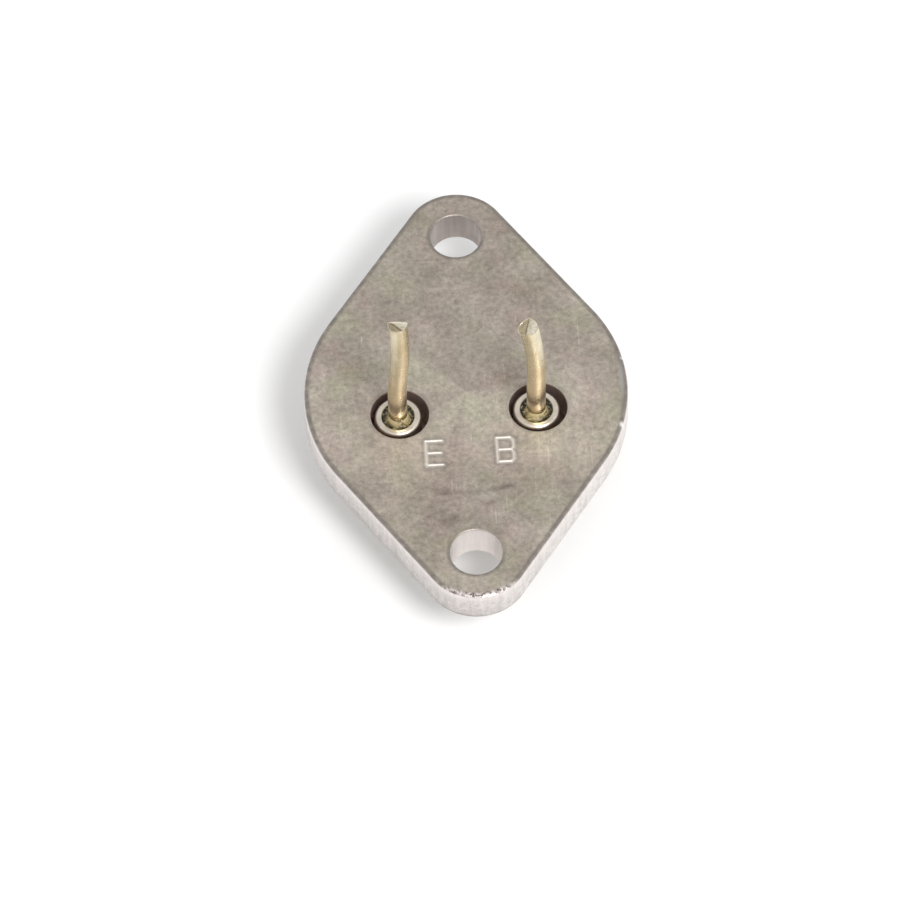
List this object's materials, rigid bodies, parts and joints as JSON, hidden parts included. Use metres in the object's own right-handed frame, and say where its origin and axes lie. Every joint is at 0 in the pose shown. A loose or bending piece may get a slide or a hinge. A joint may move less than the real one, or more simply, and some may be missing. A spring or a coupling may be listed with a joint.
{
  "type": "power transistor",
  "caption": "Metal-can power transistor with a thick diamond base plate, a mounting hole in each ear and bent round leads in glass-sealed eyelets.",
  "frame": {"origin": "centre of the seating face, the flat side of the plate that the leads come out of", "axes": "+Z out of the seating face along the leads, +X across the leads from the emitter lead to the base lead, +Y along the two mounting holes, away from the row of leads"},
  "size_m": [0.0256, 0.0386, 0.021],
  "materials": {
    "nickel_plate": "matt nickel plate, tumbled and stained",
    "nickel_can": "satin nickel plate",
    "nickel_eyelet": "satin nickel plate",
    "gold_lead": "pale gold plate, drawn wire",
    "seal_glass": "dark green sealing glass, glossy",
    "copper": null,
    "silver_braze": "silver braze",
    "solder": "lead-tin solder",
    "silicon": "polished silicon",
    "tinned_clip": "tinned copper strip"
  },
  "bodies": {
    "root": {"header_plate": "nickel_plate", "can": "nickel_can", "emitter_eyelet": "nickel_eyelet", "base_eyelet": "nickel_eyelet", "emitter_eyelet_braze": "silver_braze", "base_eyelet_braze": "silver_braze", "emitter_glass": "seal_glass", "base_glass": "seal_glass", "emitter_lead": "gold_lead", "base_lead": "gold_lead", "spreader_braze": "silver_braze", "heat_spreader": "copper", "die_solder": "solder", "die": "silicon", "emitter_clip": "tinned_clip", "base_clip": "tinned_clip", "emitter_contact_solder": "solder", "base_contact_solder": "solder", "emitter_post_solder": "solder", "base_post_solder": "solder"}
  },
  "joints": []
}
